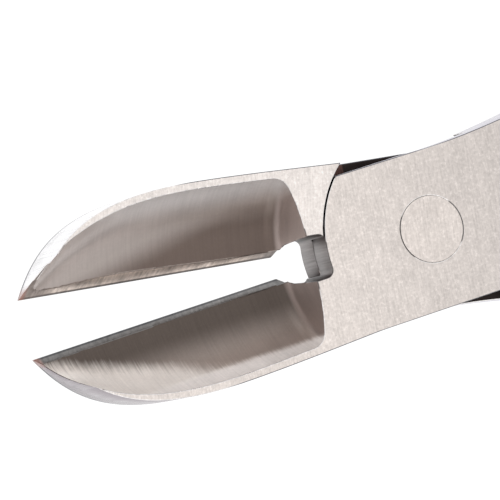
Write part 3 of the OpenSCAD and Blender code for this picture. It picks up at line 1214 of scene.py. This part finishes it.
@dataclass
class SpringScrew(SidePiece):
    """A slotted screw with a domed head that holds a leaf spring on its seat."""

    seat: SpringSeat = field(default_factory=SpringSeat)
    mid_z: float = 2.75
    strip: float = 0.8
    head_r: float = 1.6
    head_h: float = 0.9
    shank_r: float = 0.98
    slot_w: float = 0.5
    pitch: float = 0.4
    thread_depth: float = 0.14
    dome_h: float = 0.45
    chamfer: float = 0.06

    def profile(self) -> list[Point]:
        """Half of the screw's outline, as radius and distance from the head's top.

        Returns:
            Its points.
        """
        angles = [math.radians(a) for a in range(0, 91, 10)]
        dome = [(self.head_r * math.sin(a), self.dome_h * (1 - math.cos(a))) for a in angles]
        reach = self.strip + self.seat.screw_depth - 0.2
        thread = []
        for i in range(int((reach - 1.3) / self.pitch)):
            start = self.head_h + 1.1 + i * self.pitch
            thread += [(self.shank_r, start), (self.shank_r - self.thread_depth, start + self.pitch / 2)]
        end = self.head_h + reach
        under = [(self.head_r, self.head_h - self.chamfer), (self.head_r - self.chamfer, self.head_h),
                 (self.shank_r, self.head_h)]
        return dome + under + thread + [(self.shank_r - self.thread_depth, end - 0.2), (0, end)]

    def build(self) -> bpy.types.Object:
        """Models the screw on its seat.

        Returns:
            The piece.
        """
        top = self.seat.depth - self.strip - self.head_h
        places = [Vector((r, top + down, 0)) for r, down in self.profile()]
        obj = Bench.spun(self.name, places, (0, 1, 0), (0, 0, 0), 64)
        half = self.slot_w / 2
        Bench.cut(obj, Bench.box((-3, top - 1, -half), (3, top + self.head_h / 2, half)))
        coat(obj, GroundSteel(f"{self.name}_turned", srgb(214, 212, 210), roughness=0.24, line=0.05,
                              line_length=3.0, contrast=0.08, cloud=0.06),
             GroundSteel(f"{self.name}_slot", srgb(92, 88, 86), roughness=0.5, line=0.1, contrast=0.25))
        # Painted shade: the faces inside the slot get the dark slot finish.
        floor = top + self.head_h / 2
        for face in obj.data.polygons:
            inside = abs(face.center.z) < (half + 0.01) * MM and face.center.y < (floor + 0.01) * MM
            face.material_index = 1 if inside and abs(face.normal.x) < 0.01 else 0
        obj.data.transform(self.seat.matrix(self.mid_z))
        Bench.soften(obj, 0.04, 0, 50)
        Bench.finish(obj, self.turn, self.mirrored)
        Bench.grain(obj)
        Bench.shade(obj, 30)
        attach(obj, self.body.value)
        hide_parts(self.node)
        return obj


@dataclass
class Catch:
    """The wire catch that swings over the handle ends to keep the tool shut."""

    wire_r: float = 0.5
    reach: float = 16.08
    thick: float = 5.5
    turned_in: float = 1.12
    stowed: float = 211.0
    pivot: Point = (105.0, -6.0)
    turn: float = -REST_TURN
    end_bend: float = 0.54
    far_bend: float = 1.0

    def corner(self, at: Vector, before: Vector, after: Vector, radius: float) -> list[Vector]:
        """Points around a square bend.

        Args:
            at: the bend's sharp corner.
            before: direction back along the wire.
            after: direction on along the wire.
            radius: the bend's radius.

        Returns:
            The points.
        """
        centre = at + (before + after) * radius
        angles = [math.radians(a) for a in range(0, 91, 15)]
        return [centre - after * radius * math.cos(a) - before * radius * math.sin(a) for a in angles]

    def build(self) -> bpy.types.Object:
        """Models the wire in its stowed place.

        Returns:
            The piece.
        """
        low, high = self.wire_r, self.thick - self.wire_r
        x, z = Vector((1, 0, 0)), Vector((0, 0, 1))
        path = [Vector((0, 0, low + self.turned_in))]
        path += self.corner(Vector((0, 0, low)), z, x, self.end_bend)
        path += [x * (3 + 2.5 * i) + z * low for i in range(5)]
        path += self.corner(Vector((self.reach, 0, low)), -x, z, self.far_bend)
        path += self.corner(Vector((self.reach, 0, high)), -z, -x, self.far_bend)
        path += [x * (13 - 2.5 * i) + z * high for i in range(5)]
        path += self.corner(Vector((0, 0, high)), x, -z, self.end_bend)
        path += [Vector((0, 0, high - self.turned_in))]
        obj = Bench.tube("bent_wire_catch", path, self.wire_r)
        coat(obj, GroundSteel("catch_wire", srgb(224, 224, 227), roughness=0.16, line=0.06,
                              line_length=6.0, fine_axis=2, contrast=0.05, cloud=0.04))
        place = (Matrix.Rotation(math.radians(self.turn), 4, "Z")
                 @ Matrix.Translation(Vector((*self.pivot, 0)) * MM))
        obj.data.transform(place @ Matrix.Rotation(math.radians(self.stowed), 4, "Z"))
        Bench.grain(obj)
        Bench.shade(obj, 40)
        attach(obj, Body.CATCH.value)
        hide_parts("handle_catch")
        return obj


@dataclass
class Rivet:
    """The pivot rivet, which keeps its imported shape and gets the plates' finish."""

    def build(self) -> bpy.types.Object:
        """Dresses the rivet.

        Returns:
            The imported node's object.
        """
        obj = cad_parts["pivot_rivet"]
        obj.data.materials.clear()
        coat(obj, GroundSteel("rivet_face", srgb(225, 216, 210), mapped=False, **PLATE_GRIND))
        return obj


# ---------------------------------------------------------------- studio


@dataclass
class Studio:
    """The floor, light and camera."""

    pivot: Vector
    distance: float = 450.0
    frame_width: float = 37.37
    back: Vector = field(default_factory=lambda: Vector((-0.352, 0.0, 0.936)))
    roll: float = 13.99
    shift_right: float = -13.59
    shift_up: float = -1.58

    def build(self) -> None:
        """Makes the floor, lights, world and camera."""
        self.floor()
        self.world()
        self.lights()
        self.camera()

    def floor(self) -> None:
        """A plain white floor just under the tool."""
        Bench.clear()
        bpy.ops.mesh.primitive_plane_add(size=4.0, location=(0, 0, -0.02 * MM))
        obj = bpy.context.object
        obj.name = "studio_floor"
        desk = Desk("floor_white")
        desk.put(desk.shader.inputs["Base Color"], (0.1, 0.1, 0.1, 1))
        desk.put(desk.shader.inputs["Roughness"], 0.9)
        desk.put(desk.shader.inputs["Emission Color"], (1, 1, 1, 1))
        desk.put(desk.shader.inputs["Emission Strength"], 1.0)
        obj.data.materials.append(desk.material)

    def world(self) -> None:
        """Soft light from all round, brighter from above."""
        world = bpy.data.worlds.new("soft_room")
        bpy.context.scene.world = world
        world.use_nodes = True
        tree = world.node_tree
        back = tree.nodes["Background"]
        coord = tree.nodes.new("ShaderNodeTexCoord")
        split = tree.nodes.new("ShaderNodeSeparateXYZ")
        ramp = tree.nodes.new("ShaderNodeValToRGB")
        tree.links.new(coord.outputs["Generated"], split.inputs[0])
        tree.links.new(split.outputs["Z"], ramp.inputs[0])
        ramp.color_ramp.elements[0].position = 0.0
        ramp.color_ramp.elements[0].color = (0.8, 0.8, 0.8, 1)
        ramp.color_ramp.elements[1].position = 0.9
        ramp.color_ramp.elements[1].color = (1.0, 1.0, 1.0, 1)
        tree.links.new(ramp.outputs[0], back.inputs["Color"])
        back.inputs["Strength"].default_value = 1.0

    def lights(self) -> None:
        """A large soft lamp from the near side."""
        data = bpy.data.lights.new("near_softbox", "AREA")
        data.shape, data.size, data.size_y = "RECTANGLE", 0.5, 0.4
        data.energy = 0.2
        lamp = bpy.data.objects.new("near_softbox", data)
        bpy.context.scene.collection.objects.link(lamp)
        lamp.location = (-0.15, -0.45, 0.45)
        lamp.rotation_euler = (Vector((-0.02, 0, 0)) - lamp.location).to_track_quat("-Z", "Y").to_euler()

    def camera(self) -> None:
        """The camera, long and nearly square on to the front face."""
        back = self.back.normalized()
        side = Vector((back.z, 0, -back.x))
        across = Vector((0, 1, 0))
        a = math.radians(self.roll)
        right = side * math.cos(a) - across * math.sin(a)
        up = side * math.sin(a) + across * math.cos(a)
        aim = self.pivot + (right * self.shift_right + up * self.shift_up) * MM
        data = bpy.data.cameras.new("camera")
        data.sensor_width = 36.0
        data.lens = data.sensor_width * self.distance / self.frame_width
        data.clip_start, data.clip_end = 0.01, 10.0
        cam = bpy.data.objects.new("camera", data)
        bpy.context.scene.collection.objects.link(cam)
        turned = Matrix((right, up, back)).transposed().to_4x4()
        cam.matrix_world = Matrix.Translation(aim + back * self.distance * MM) @ turned
        bpy.context.scene.camera = cam
        bpy.context.scene.view_settings.view_transform = "Standard"


def main() -> None:
    """Builds the studio and every piece."""
    logging.basicConfig(level=logging.INFO, format="%(name)s: %(message)s")
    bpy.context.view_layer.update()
    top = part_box("pivot_rivet")[1].z
    Studio(Vector((0, 0, top))).build()
    worn_rim = [(-31.3, -1.8), (-30.6, -1.3), (-29.95, -0.65), (-29.2, -0.08), (-28.5, 0.14),
                (-27.3, 0.32), (-25.5, 0.46), (-23, 0.55), (-10, 0.6)]
    front = Half("front_forging", "front_half", Body.FRONT, False, REST_TURN, rim_line=worn_rim)
    rear = Half("rear_forging", "rear_half", Body.REAR, True, -REST_TURN, bevel_growth=0.6)
    pieces = [
        front, rear, Rivet(), Catch(),
        LeafSpring("front_spring_strip", "front_leaf_spring", Body.FRONT, False, REST_TURN, Body.REAR),
        LeafSpring("rear_spring_strip", "rear_leaf_spring", Body.REAR, True, -REST_TURN, Body.FRONT),
        SpringScrew("front_slotted_screw", "front_spring_screw", Body.FRONT, False, REST_TURN),
        SpringScrew("rear_slotted_screw", "rear_spring_screw", Body.REAR, True, -REST_TURN),
    ]
    for piece in pieces:
        obj = piece.build()
        log.info("built %s with %d faces", obj.name, len(obj.data.polygons))


if __name__ == "__main__":
    main()
